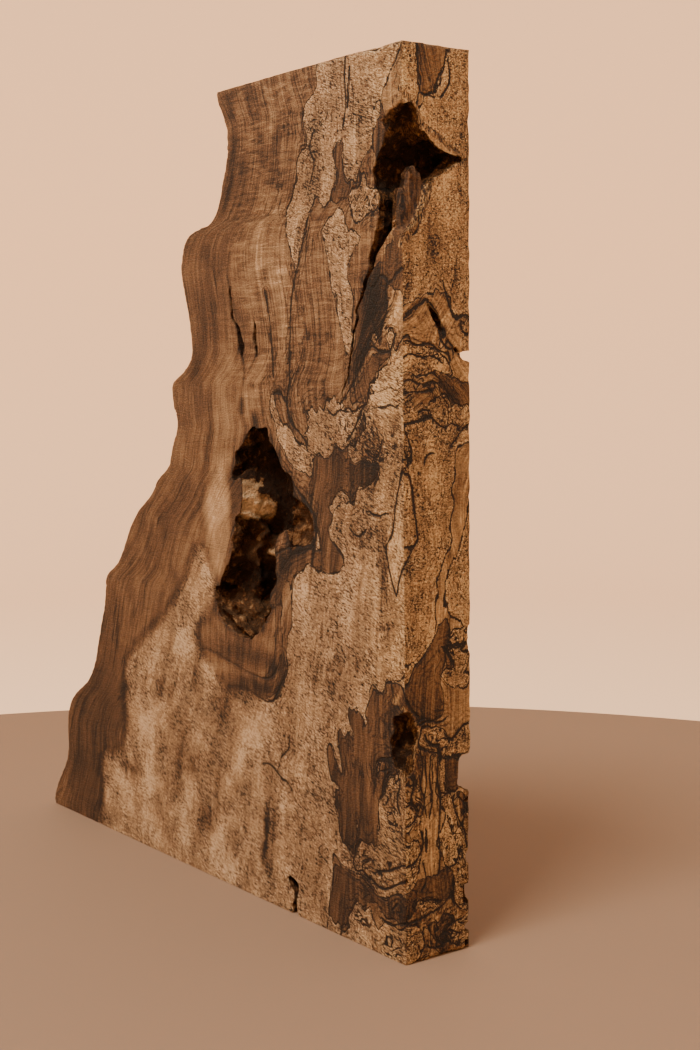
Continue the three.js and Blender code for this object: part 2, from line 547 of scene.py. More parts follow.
# The figure of the wood: patches, lines and soft touches as they lie on the broad front face, in millimetres
# from its middle and foot.
frontFigure = {
    "pale": [
        [(152, 545), (151, 528), (146, 521), (138, 517), (137, 508), (141, 500), (140, 492), (133, 488),
         (129, 478), (124, 465), (118, 455), (118, 445), (121, 430), (124, 421), (130, 419), (134, 432),
         (138, 441), (141, 452), (148, 459), (152, 457), (156, 453), (164, 456), (167, 463), (171, 470),
         (171, 478), (168, 484), (170, 489), (176, 491), (179, 496), (179, 503), (182, 515), (183, 530),
         (183, 545)],
        [(184, 545), (185, 530), (184, 518), (180, 508), (178, 496), (180, 488), (178, 479), (180, 470),
         (184, 466), (189, 466), (194, 474), (199, 481), (206, 485), (210, 491), (212, 501), (216, 511),
         (224, 522), (230, 532), (232, 545)],
        [(183, 455), (186, 461), (192, 464), (194, 468), (197, 470), (199, 465), (201, 460), (208, 459),
         (215, 458), (222, 453), (216, 449), (208, 447), (202, 446), (196, 443), (190, 441), (186, 445)],
        [(156, 440), (160, 442), (165, 447), (170, 452), (176, 449), (180, 443), (183, 438), (192, 433),
         (190, 428), (184, 423), (181, 417), (182, 409), (186, 400), (187, 391), (186, 380), (183, 370),
         (179, 364), (176, 370), (173, 378), (171, 388), (171, 398), (166, 404), (161, 411), (159, 425)],
        [(143, 330), (152, 330), (158, 333), (162, 338), (166, 337), (170, 334), (178, 333), (186, 331),
         (195, 333), (195, 327), (191, 319), (184, 312), (173, 309), (167, 307), (160, 302), (150, 301),
         (142, 300), (138, 305), (140, 311), (136, 312), (140, 316), (136, 318), (140, 323), (136, 325),
         (141, 328)],
        [(100, 341), (104, 330), (108, 320), (115, 319), (122, 314), (128, 308), (136, 306), (142, 298),
         (141, 288), (133, 290), (125, 292), (119, 296), (110, 302), (102, 314), (97, 328)],
        [(158, 272), (163, 277), (170, 279), (178, 278), (183, 274), (178, 271), (170, 270), (163, 268)],
        [(141, 257), (146, 257), (149, 249), (150, 242), (145, 241), (143, 247)],
        [(210, 296), (203, 288), (196, 284), (187, 281), (184, 276), (172, 272), (163, 266), (160, 256),
         (163, 251), (168, 247), (175, 241), (175, 236), (170, 231), (160, 229), (150, 228), (142, 231),
         (135, 233), (129, 229), (122, 222), (118, 210), (116, 195), (114, 180), (112, 165), (107, 150),
         (98, 140), (85, 138), (60, 139), (40, 137), (20, 150), (5, 160), (0, 175), (12, 185), (22, 196),
         (25, 212), (10, 232), (0, 230), (-20, 205), (-45, 180), (-70, 165), (-90, 150), (-105, 135),
         (-110, 110), (-108, 90), (-120, 65), (-150, 55), (-148, 30), (-150, 5), (-150, -5), (154, -5),
         (155, 12), (156, 24), (159, 30), (161, 44), (164, 52), (168, 58), (172, 62), (167, 69),
         (166, 78), (164, 85), (163, 92), (168, 95), (160, 99), (156, 108), (155, 116), (160, 120),
         (164, 114), (167, 108), (172, 107), (169, 114), (167, 124), (169, 131), (176, 132), (182, 131),
         (180, 137), (178, 148), (182, 151), (188, 147), (193, 145), (200, 154), (205, 163), (211, 162),
         (217, 170), (228, 170), (240, 178), (240, 352), (225, 345), (213, 343), (201, 337), (196, 330),
         (197, 320), (190, 312), (181, 309), (178, 303), (186, 301), (198, 301)],
        [(200, 341), (206, 347), (214, 355), (222, 364), (221, 371), (224, 378), (228, 373), (227, 365),
         (240, 372), (240, 346), (225, 343), (212, 341), (204, 337)],
        [(203, 370), (205, 375), (210, 373), (209, 368)],
        [(178, 11), (177, 17), (180, 24), (186, 25), (191, 24), (197, 27), (201, 28), (202, 20),
         (206, 15), (210, 20), (214, 23), (224, 21), (240, 24), (240, -5), (172, -5), (174, 6)],
        [(207, 70), (208, 90), (213, 99), (217, 108), (223, 116), (230, 117), (240, 118), (240, 46),
         (228, 43), (217, 37), (208, 36), (202, 41), (196, 46), (186, 45), (172, 47), (163, 50),
         (166, 58), (172, 62), (179, 58), (184, 56), (187, 64), (192, 68), (200, 66)],
        [(207, 111), (208, 118), (212, 121), (218, 121), (212, 118), (210, 111)],
        [(185, 76), (187, 77), (189, 72), (187, 69)],
        [(195, 138), (194, 142), (197, 146), (199, 141)],
        [(145, 42), (151, 43), (156, 39), (159, 31), (161, 37), (158, 45), (150, 46)],
        [(148, 58), (152, 53), (157, 48), (161, 46), (161, 54), (156, 60)],
    ],
    "dark": [
        [(141, 301), (150, 301), (160, 302), (167, 307), (172, 308), (177, 304), (179, 300), (192, 299),
         (200, 300), (209, 297), (210, 291), (203, 288), (196, 284), (187, 281), (184, 276), (172, 272),
         (163, 266), (160, 256), (163, 251), (168, 247), (175, 241), (175, 236), (170, 231), (160, 229),
         (150, 228), (142, 231), (135, 233), (129, 229), (122, 222), (118, 212), (113, 222), (106, 205),
         (108, 180), (110, 160), (100, 145), (85, 139), (78, 146), (90, 156), (98, 170), (101, 190),
         (98, 212), (103, 228), (118, 238), (130, 242), (140, 245), (149, 243), (150, 250), (147, 262),
         (143, 272), (140, 280), (141, 290)],
        [(178, 148), (182, 151), (188, 147), (193, 145), (200, 154), (205, 163), (211, 162), (217, 170),
         (228, 170), (240, 178), (240, 116), (226, 117), (219, 110), (213, 99), (208, 90), (207, 80),
         (206, 69), (200, 66), (191, 68), (186, 63), (183, 55), (177, 59), (172, 63), (167, 69),
         (166, 78), (164, 85), (163, 92), (168, 95), (160, 99), (156, 108), (155, 116), (160, 120),
         (164, 114), (167, 108), (172, 107), (169, 114), (167, 124), (169, 131), (176, 132), (182, 131),
         (180, 137)],
        [(155, 10), (156, 22), (160, 34), (163, 44), (170, 43), (178, 42), (190, 42), (196, 39),
         (202, 40), (207, 35), (216, 36), (228, 42), (240, 45), (240, 30), (226, 27), (214, 25),
         (206, 30), (200, 29), (191, 24), (182, 25), (177, 17), (178, 11), (170, 8), (165, -5),
         (155, -5)],
        [(187, 372), (191, 388), (197, 400), (204, 408), (214, 420), (226, 429), (240, 432), (240, 402),
         (228, 399), (220, 404), (218, 396), (219, 388), (214, 378), (212, 370), (206, 372), (200, 366),
         (195, 358), (188, 350), (181, 344), (176, 338), (180, 350), (184, 360)],
        [(180, 338), (190, 347), (200, 358), (208, 364), (214, 366), (221, 364), (214, 356), (206, 347),
         (199, 340), (190, 336)],
        [(168, 488), (171, 490), (177, 490), (179, 482), (179, 470), (184, 465), (180, 458), (172, 455),
         (164, 457), (169, 464), (171, 472)],
        [(118, 273), (128, 273), (136, 269), (143, 262), (144, 255), (142, 248), (136, 244), (126, 241),
         (116, 242), (116, 256)],
        [(205, 500), (209, 492), (206, 484), (212, 474), (218, 470), (222, 478), (221, 490), (217, 500),
         (214, 510)],
        [(147, 52), (145, 44), (151, 46), (157, 44), (158, 48), (152, 52)],
        [(196, 329), (199, 337), (210, 341), (225, 342), (240, 344), (240, 336), (226, 333), (210, 332)],
    ],
    "lines": [
        [(181, 541), (180, 527), (181, 512), (178, 499)],
        [(139, 445), (131, 425), (127, 415), (122, 400), (120, 380), (119, 360), (118, 345), (115, 335),
         (120, 322), (130, 315), (138, 308)],
        [(205, 402), (204, 396), (207, 390), (206, 382), (209, 377), (213, 372)],
        [(212, 371), (215, 380), (219, 388), (219, 402)],
        [(199, 405), (207, 402), (215, 409), (222, 404), (228, 409), (236, 413)],
        [(174, 335), (185, 345), (195, 358), (204, 368), (212, 365), (222, 365), (227, 374)],
        [(187, 352), (196, 366), (203, 374)],
        [(237, 299), (232, 294), (229, 284), (226, 273), (224, 261), (221, 255), (217, 250), (219, 240),
         (222, 231), (226, 222), (229, 229), (232, 237), (237, 245)],
        [(49, 411), (47, 420), (49, 432)],
        [(63, 366), (66, 356), (64, 346)],
        [(100, 236), (110, 240), (120, 243), (130, 243), (139, 245)],
        [(0, 150), (10, 162), (40, 158), (75, 152), (95, 155), (105, 170)],
        [(40, 140), (60, 142), (90, 137), (102, 146), (110, 160)],
        [(113, 117), (113, 110), (104, 103)],
        [(82, 94), (90, 95), (98, 92), (104, 88), (110, 87), (116, 82)],
        [(207, 110), (207, 117), (211, 122), (215, 121), (219, 123), (220, 118)],
        [(212, 100), (213, 107), (216, 112), (221, 115)],
        [(205, 50), (214, 53), (222, 56), (230, 60), (238, 62)],
        [(200, 45), (208, 42), (218, 43), (226, 48), (236, 52)],
        [(184, 56), (182, 50), (186, 46), (192, 48), (198, 44)],
        [(222, 32), (226, 36), (230, 33), (227, 31)],
        [(210, 23), (220, 21), (228, 24), (236, 26)],
        [(144, 470), (148, 481), (143, 490), (148, 500)],
        [(100, 340), (108, 341), (112, 336)],
        [(92, 405), (98, 380), (100, 352)],
        [(180, 312), (186, 318), (191, 325), (196, 333)],
        [(221, 170), (224, 161), (229, 155)],
        [(226, 117), (229, 109), (226, 101), (228, 92)],
        [(198, 306), (206, 302), (211, 305), (214, 312)],
        [(202, 269), (210, 268), (218, 270)],
        [(120, 284), (129, 277), (138, 270), (145, 263), (146, 252), (142, 244), (130, 240), (118, 236),
         (108, 227)],
        [(182, 258), (190, 254), (197, 258)],
        [(160, 330), (166, 327), (172, 330), (180, 329)],
    ],
    "softLines": [
        [(0, 232), (-20, 205), (-45, 180), (-70, 165), (-90, 150), (-105, 135), (-110, 110), (-109, 85)],
        [(50, 536), (56, 520), (56, 500), (52, 482), (44, 464)],
        [(10, 245), (8, 270), (15, 290), (22, 310), (20, 330), (27, 350), (30, 380), (28, 395)],
        [(75, 540), (84, 515), (95, 490)],
        [(128, 540), (112, 510), (97, 490)],
        [(-35, 215), (-5, 180), (2, 150), (-5, 120)],
        [(208, 330), (205, 300), (206, 282)],
        [(226, 330), (223, 300), (221, 268)],
        [(88, 92), (86, 70), (84, 40), (86, 20)],
        [(214, 262), (211, 248), (212, 236), (216, 222), (219, 205), (217, 190)],
        [(222, 216), (221, 205), (224, 192)],
        [(228, 330), (227, 310), (229, 296)],
    ],
    # x, z, how wide, how tall, turned by degrees, how much lighter
    "touches": [
        (100, 525, 24, 34, 0, 0.09), (70, 482, 36, 22, 0, -0.07), (88, 436, 5, 16, 0, 0.16),
        (62, 350, 36, 55, 0, 0.13), (95, 420, 16, 50, 0, 0.1), (10, 400, 14, 45, 0, -0.05),
        (6, 350, 14, 26, 0, -0.09), (28, 266, 15, 44, -4, 0.36), (66, 430, 22, 22, 0, 0.08),
        (-45, 255, 40, 26, 35, -0.02), (-150, 95, 40, 40, 20, -0.16), (-175, 25, 45, 45, 0, -0.2),
        (-130, 150, 22, 50, -20, -0.06), (-80, 95, 24, 18, 0, 0.1), (-130, 50, 16, 10, -20, 0.09),
        (-98, 40, 14, 8, 0, 0.08), (-100, 55, 16, 5, -8, -0.3), (-50, 123, 16, 8, 10, -0.28),
        (-28, 70, 9, 44, -8, -0.28), (-9, 73, 5, 8, 0, -0.3), (5, 38, 16, 11, 10, -0.34),
        (45, 32, 9, 12, 0, -0.3), (35, 125, 7, 12, -20, -0.26), (0, 128, 7, 14, 0, -0.2),
        (-138, 12, 25, 6, 0, -0.18), (25, 152, 14, 6, 0, 0.16), (60, 92, 50, 32, 0, 0.07),
        (60, 165, 46, 8, 0, -0.24), (78, 146, 34, 4, 0, -0.26), (88, 176, 16, 5, -30, 0.12),
        (84, 47, 3, 19, 0, -0.45), (92, 70, 2.5, 26, 0, -0.28), (106, 60, 6, 30, 0, 0.13),
        (112, 28, 9, 7, 0, 0.12), (-20, 165, 12, 14, 0, 0.12), (-55, 150, 22, 10, 30, 0.1),
        (130, 190, 14, 40, -10, 0.03), (112, 370, 6, 60, 0, 0.08), (150, 350, 24, 40, 0, -0.05),
        (145, 470, 8, 20, 0, -0.1), (215, 470, 12, 26, 0, -0.16), (200, 470, 14, 14, 0, -0.1),
        (135, 282, 6, 4, 0, 0.12), (125, 276, 10, 12, 0, -0.14), (60, 312, 30, 6, 20, -0.12),
        (60, 366, 7, 7, 0, -0.2), (80, 325, 6, 6, 0, -0.4), (62, 330, 5, 6, 0, -0.3),
        (75, 345, 4, 4, 0, -0.2), (12, 195, 14, 22, 20, -0.06), (108, 342, 5, 3, 0, -0.3),
        (-10, 205, 10, 12, 40, 0.08), (150, 15, 3, 14, 0, -0.18), (130, 12, 14, 8, 0, -0.05),
        (-70, 20, 30, 14, 0, 0.05), (205, 395, 14, 22, 0, -0.42), (194, 370, 8, 18, -20, -0.2),
        (192, 362, 6, 14, -25, -0.16), (226, 386, 9, 10, 0, 0.12), (214, 235, 5, 26, 0, -0.16),
        (205, 228, 5, 30, 0, 0.09), (222, 205, 6, 20, 0, 0.03), (226, 246, 5, 18, 0, 0.16),
        (219, 95, 4, 4, 0, -0.3), (228, 80, 5, 8, 0, -0.12), (214, 80, 4, 14, 0, 0.08),
        (215, 530, 4, 4, 0, -0.35), (183, 84, 12, 20, 0, -0.02), (226, 154, 6, 6, -30, -0.35),
        (229, 136, 4, 16, 0, -0.3), (222, 148, 6, 8, -30, -0.12), (125, 222, 12, 8, -30, 0.06),
        (110, 205, 4, 8, 0, 0.1), (128, 256, 16, 15, 0, -0.3), (112, 232, 12, 8, 20, -0.3),
        (170, 320, 20, 8, 10, 0.05), (64, 215, 22, 14, 0, -0.1), (-60, 70, 8, 50, -5, -0.1),
        (22, 80, 8, 45, 0, -0.1), (60, 60, 7, 40, 0, -0.08), (58, 388, 9, 26, 15, -0.16),
        (80, 376, 7, 17, 0, -0.14), (195, 300, 24, 20, 0, -0.34), (178, 262, 16, 12, 0, -0.08),
    ],
    # the same for what shows inside the pocket
    "islands": [
        (56, 270, 12, 15, 0, 1.0), (66, 262, 8, 8, 0, 0.4), (70, 233, 15, 5, 8, 0.7),
        (94, 249, 9, 4, 8, 0.6), (88, 222, 6, 4, 0, 0.5), (54, 243, 5, 5, 0, 0.5),
        (104, 240, 10, 3, 10, 0.5),
    ],
    "rust": [
        (60, 192, 34, 13, 0, 0.2), (62, 206, 7, 16, 0, -0.3), (128, 257, 15, 14, 0, 0.15),
        (110, 282, 9, 12, 0, 0.2), (72, 232, 24, 9, 0, 0.2), (56, 250, 10, 14, 0, 0.15),
        (95, 250, 10, 8, 0, 0.2), (88, 212, 10, 14, 0, 0.2), (82, 300, 10, 12, 0, 0.08),
    ],
    # where the wood is torn into golden fibres with black gaps, partly a painted highlight on the lit rims
    "torn": [
        (227, 485, 9, 12, 0, 1.2), (219, 472, 5, 9, 0, 1.0), (214, 456, 4, 5, 0, 0.8),
        (232, 121, 4, 9, 0, 0.9), (226, 160, 6, 5, 0, 0.7),
    ],
    # x, z, how wide, how tall, how thick the fine black swirls are
    "swirls": [
        (196, 293, 18, 9, 1.0), (172, 275, 14, 6, 1.0), (200, 52, 30, 12, 0.8), (214, 385, 14, 20, 0.6),
        (200, 452, 22, 10, 0.9), (222, 112, 12, 14, 0.9), (150, 485, 12, 20, 0.5),
        (212, 310, 20, 16, 0.7), (190, 15, 14, 8, 0.6), (222, 10, 10, 10, 0.9), (190, 180, 20, 14, 0.25),
        (118, 350, 4, 30, 0.7), (140, 60, 12, 20, 0.35), (180, 322, 18, 8, 0.5), (222, 80, 8, 22, 0.7),
        (170, 400, 10, 30, 0.25), (205, 255, 8, 12, 0.4), (160, 508, 14, 14, 0.45),
    ],
}

# The same for the narrow sawn edge, measured from the middle of its width and from its foot.
edgeFigure = {
    "pale": [
        [(-30, 366), (-18, 368), (-8, 368), (2, 364), (8, 358), (12, 351), (6, 352), (0, 354), (-8, 353),
         (-14, 352), (-30, 353)],
        [(-30, 330), (-14, 331), (-5, 336), (1, 340), (8, 337), (15, 333), (30, 331), (30, 314),
         (22, 309), (14, 304), (12, 292), (11, 272), (9, 252), (5, 240), (0, 230), (-2, 215), (-3, 196),
         (-7, 190), (-18, 181), (-30, 177)],
        [(30, 290), (25, 285), (24, 275), (20, 262), (18, 252), (14, 243), (9, 236), (5, 226), (6, 215),
         (9, 209), (17, 204), (30, 198)],
        [(-30, 425), (-16, 432), (-12, 440), (-5, 457), (2, 468), (15, 473), (30, 476), (30, 384),
         (20, 386), (14, 384), (8, 395), (2, 403), (-2, 394), (-9, 398), (-20, 391), (-30, 387)],
        [(8, 545), (8, 532), (5, 522), (0, 513), (-7, 508), (-14, 503), (-8, 492), (0, 489), (8, 483),
         (30, 481), (30, 545)],
        [(-30, 545), (-15, 545), (-14, 525), (-13, 512), (-17, 503), (-30, 505)],
        [(1, 99), (9, 98), (12, 88), (15, 78), (18, 70), (16, 64), (12, 72), (10, 80), (4, 86)],
        [(1, 80), (7, 80), (11, 70), (13, 60), (10, 53), (3, 54), (1, 65)],
        [(0, 120), (6, 120), (5, 108), (4, 102), (1, 102)],
        [(5, 124), (10, 122), (24, 123), (30, 138), (20, 139), (14, 134), (8, 132)],
        [(-12, 142), (-4, 143), (4, 141), (8, 134), (2, 128), (-8, 128), (-14, 134)],
        [(-30, 98), (-22, 98), (-17, 91), (-21, 82), (-30, 78)],
        [(-30, 72), (-20, 74), (-13, 66), (-16, 52), (-24, 46), (-30, 46)],
        [(12, 48), (18, 52), (30, 52), (30, 26), (17, 26), (12, 34)],
        [(18, 78), (30, 82), (30, 54), (18, 56)],
        [(-19, 32), (-17, 37), (-11, 37), (-3, 36), (3, 33), (-4, 30), (-12, 30)],
        [(-30, 28), (-20, 26), (-12, 17), (-14, 6), (-22, -4), (-30, -4)],
        [(9, 192), (12, 199), (19, 199), (27, 194), (24, 190), (14, 189)],
        [(7, 187), (13, 187), (22, 187), (27, 180), (20, 174), (12, 176)],
        [(2, 172), (12, 176), (25, 172), (22, 164), (11, 163)],
        [(6, 14), (14, 18), (28, 22), (28, 6), (16, 4)],
    ],
    "dark": [
        [(-14, 545), (-14, 525), (-11, 512), (-6, 508), (0, 513), (5, 522), (7, 532), (7, 545)],
        [(-30, 177), (-18, 181), (-7, 190), (-3, 197), (1, 206), (5, 206), (9, 196), (7, 187), (4, 178),
         (2, 165), (3, 150), (-8, 146), (-20, 148), (-30, 150)],
        [(-30, 46), (-24, 44), (-16, 49), (-4, 51), (8, 52), (11, 44), (11, 36), (3, 33), (-6, 37),
         (-16, 38), (-19, 33), (-24, 29), (-30, 30)],
        [(1, 352), (8, 349), (14, 348), (20, 345), (30, 344), (30, 332), (22, 331), (15, 333), (8, 337),
         (1, 340)],
        [(-8, 20), (2, 24), (10, 24), (12, 14), (6, 9), (-4, 12)],
        [(14, 99), (20, 97), (26, 88), (24, 82), (17, 88)],
        [(5, 119), (16, 119), (17, 104), (6, 102)],
    ],
    "lines": [
        [(-26, 383), (-20, 388), (-14, 391), (-9, 395), (-4, 391), (0, 386), (3, 380), (6, 375), (9, 370),
         (13, 366), (18, 362), (26, 360)],
        [(-26, 382), (-18, 387), (-9, 393), (-5, 391), (-1, 385), (2, 379)],
        [(-4, 389), (-3, 385), (0, 379), (3, 372), (7, 366), (10, 359)],
        [(5, 404), (8, 395), (12, 386), (15, 383), (18, 385), (22, 386), (27, 384)],
        [(18, 381), (20, 376), (26, 374)],
        [(-26, 371), (-22, 374), (-19, 369), (-14, 368), (-8, 369), (-3, 368), (1, 365), (6, 364)],
        [(-27, 360), (-20, 363), (-12, 361), (-4, 362), (3, 359)],
        [(-27, 346), (-20, 348), (-12, 345), (-5, 347), (0, 346)],
        [(-27, 340), (-18, 341), (-10, 341), (-2, 343)],
        [(-15, 329), (-10, 331), (-7, 330)],
        [(-26, 322), (-14, 324), (-5, 326), (4, 320), (12, 322), (22, 318)],
        [(10, 309), (14, 312), (19, 318), (26, 322)],
        [(-27, 294), (-22, 293), (-20, 288), (-18, 275), (-16, 262), (-15, 255), (-19, 252), (-27, 250)],
        [(-24, 318), (-20, 308), (-20, 300)],
        [(-27, 310), (-23, 304), (-22, 298)],
        [(-10, 300), (-8, 304), (-4, 305)],
        [(-15, 255), (-20, 248), (-23, 243), (-28, 237)],
        [(4, 189), (9, 190), (14, 189), (20, 190), (27, 190)],
        [(5, 188), (9, 183), (11, 179)],
        [(-26, 146), (-18, 144), (-8, 146), (0, 144), (6, 146)],
        [(-10, 136), (-6, 131), (0, 130), (2, 124), (6, 121), (12, 122), (20, 120)],
        [(5, 136), (10, 132), (15, 136), (20, 140), (27, 141)],
        [(0, 130), (-1, 112), (0, 104), (1, 95), (1, 85), (0, 75), (1, 65), (0, 52)],
        [(0, 101), (8, 100), (15, 101)],
        [(14, 98), (20, 92), (27, 84)],
        [(10, 97), (13, 88), (17, 80), (21, 72), (22, 65)],
        [(-26, 96), (-20, 97), (-16, 92), (-20, 86), (-26, 84)],
        [(-19, 33), (-17, 38), (-11, 37), (-3, 36), (3, 33)],
        [(-10, 80), (-9, 74), (-10, 68)],
        [(-26, 163), (-21, 155), (-16, 150)],
        [(-22, 119), (-19, 110), (-21, 101), (-18, 93)],
        [(-26, 60), (-18, 62), (-12, 72), (-14, 80)],
        [(-12, 60), (-10, 50), (-13, 44)],
        [(12, 46), (11, 38), (12, 31)],
        [(-8, 8), (-2, 6), (6, 8), (14, 4)],
        [(-26, 25), (-16, 26), (-8, 28), (2, 31), (8, 36)],
        [(2, 13), (8, 15), (14, 12)],
        [(-14, 128), (-12, 118), (-14, 108), (-11, 98), (-13, 90)],
        [(-6, 124), (-7, 112), (-5, 100), (-7, 88)],
        [(-20, 470), (-14, 455), (-16, 440)],
        [(9, 532), (10, 520), (4, 511)],
    ],
    "softLines": [
        [(-8, 330), (-11, 290), (-9, 250), (-14, 215)],
        [(3, 320), (4, 290), (2, 262)],
        [(-20, 240), (-17, 210), (-21, 190)],
        [(27, 522), (10, 512), (-8, 501)],
        [(-14, 540), (-15, 525), (-13, 512)],
        [(-8, 428), (0, 415), (12, 410), (26, 412)],
    ],
    "touches": [
        (10, 515, 16, 26, 0, -0.06), (8, 430, 22, 30, 0, -0.14), (0, 300, 8, 40, 0, 0.08),
        (-14, 250, 5, 60, 0, 0.05), (-20, 200, 6, 20, 0, -0.1), (17, 275, 5, 40, 8, -0.02),
        (0, 205, 5, 20, 0, -0.06), (17, 160, 12, 16, 0, -0.04), (-8, 100, 10, 40, 0, -0.02),
        (10, 75, 8, 20, 10, 0.08), (22, 85, 5, 14, 0, -0.2), (0, 7, 8, 4, 0, -0.5),
        (-18, 20, 8, 10, 0, -0.05), (12, 32, 10, 10, 0, -0.04), (-21, 128, 5, 20, 0, -0.34),
        (-14, 146, 10, 2.5, 0, -0.4), (-15, 118, 3, 12, 0, -0.25), (20, 45, 8, 10, 0, -0.08),
        (0, 525, 9, 20, 0, 0.16), (-10, 165, 14, 14, 0, -0.02), (-8, 345, 16, 8, 0, -0.06),
        (-20, 520, 6, 22, 0, 0.04), (5, 376, 3, 5, 25, -0.7), (14, 196, 5, 3, 0, 0.2),
        (-24, 376, 20, 8, 0, 0.05), (12, 110, 6, 9, 0, -0.12), (-24, 270, 6, 18, 0, 0.1),
        (-11, 212, 2, 24, 0, 0.12), (-17, 212, 2, 24, 0, 0.1), (-25, 440, 9, 26, 0, -0.25),
    ],
    "swirls": [
        (-6, 342, 26, 16, 0.8), (0, 14, 26, 16, 1.0), (14, 184, 12, 14, 0.9), (6, 134, 22, 9, 0.8),
        (-19, 105, 7, 40, 0.9), (10, 60, 16, 20, 0.6), (-22, 410, 5, 16, 0.6), (5, 318, 22, 10, 0.6),
        (18, 225, 9, 20, 0.4), (22, 60, 6, 40, 0.8), (-22, 50, 6, 30, 0.8), (22, 375, 6, 10, 0.7),
    ],
}


figureLook = {
    "reach": 0.012,  # how far from a patch or a line its distance is told
    "tearSeed": 91,
    "softLineWidth": 0.0045,
    "softLineDark": 0.13,
    "tornRimAndHighlight": 0.0022,
    "stain": 0.0032,  # how far the wood is stained round the pocket
    "splinterTone": 0.12,
    "backDrift": 0.016,  # how far the figure wanders between the front and the back face
    "backShift": 0.008,
    "arch": 0.35,  # the height at which the grain bends round the arched crack
    "inMillimetres": ("paleEdge", "darkEdge", "blackLine", "lineSide"),
}


def ellipses(where, touches):
    # soft round touches added up
    total = np.zeros(len(where))
    for x, z, wide, tall, turn, amount in touches:
        c, s = math.cos(math.radians(turn)), math.sin(math.radians(turn))
        dx, dz = where[:, 0] / mm - x, where[:, 1] / mm - z
        far = ((dx * c + dz * s) / wide) ** 2 + ((dz * c - dx * s) / tall) ** 2
        total += amount * np.exp(-far ** 1.3)
    return total


def torn(where, seed):
    # the patches end in spikes along the grain
    x, z = where.T
    fine = np.stack([x, x * 0, z * 0.12], 1)
    both = np.stack([x, x * 0, z], 1)
    strength = 0.001 + 0.0045 * ramp(smoothNoise(both, 0.03, seed + 3), -0.1, 0.6)
    spikes = strength * smoothNoise(fine, 0.0038, seed) + 0.0022 * smoothNoise(both, 0.009, seed + 1)
    return np.stack([x + 0.0024 * smoothNoise(both, 0.010, seed + 2), z + spikes], 1)


def readFigure(where, figure):
    straight = where
    where = torn(where, figureLook["tearSeed"])
    reach = figureLook["reach"]
    soft = lineField(where, figure["softLines"], reach)
    softDark = figureLook["softLineDark"] * np.exp(-(soft / figureLook["softLineWidth"]) ** 2)
    swirls = ellipses(where, [(x, z, w, t, 0, a) for x, z, w, t, a in figure["swirls"]])
    return {
        "paleEdge": patchField(where, figure["pale"], reach),
        "darkEdge": patchField(where, figure["dark"], reach),
        "blackLine": lineField(straight, figure["lines"], reach),
        "lineSide": lineSides(straight, figure["lines"], reach),
        "tone": ellipses(where, figure["touches"]) - softDark,
        "swirls": np.clip(swirls, 0, 1),
    }


def writeValue(piece, name, values):
    attribute = piece.data.attributes.new(name, "FLOAT", "POINT")
    attribute.data.foreach_set("value", values.astype(np.float32))


def writeVector(piece, name, values):
    attribute = piece.data.attributes.new(name, "FLOAT_VECTOR", "POINT")
    attribute.data.foreach_set("vector", values.astype(np.float32).ravel())


def grainCoordinates(where, onEdge):
    # the grain follows the living edge on the left, stands upright on the right and bends round the pocket
    # and the arched crack
    x, y, z = where.T
    inward = x - liveEdgeAt(z)
    grain = 0.26 * inward / (slabHigh[0] - liveEdgeAt(z))
    dx, dz = x - 0.072, z - 0.25
    bulge = np.exp(-((dx / 0.06) ** 2 + (dz / 0.095) ** 2))  # the grain swells round the pocket
    grain = grain - 0.35 * bulge * dx
    grain += 0.004 * smoothNoise(where, 0.045, 41) + 0.0015 * smoothNoise(where, 0.02, 42)
    arch = figureLook["arch"]
    turning = np.exp(-((z - arch) / 0.03) ** 2)
    slope = z - arch - 0.75 * (x - slabHigh[0])
    share = turning * ramp(x, 0.17, 0.225)
    across = grain + share * (slope - grain + 0.26)
    along = z + share * (x - slabHigh[0])
    lean = 0.005 * smoothNoise(where * np.array([1, 1, 0.5]), 0.02, 43)
    bent = z - arch + 0.9 * np.abs(y + 0.009)
    across = np.where(onEdge, 0.3 + (1 - turning) * (y + lean) + turning * bent, across)
    along = np.where(onEdge, z - turning * (z - arch + y), along)
    return np.stack([across, np.where(onEdge, 0, y), along], 1)


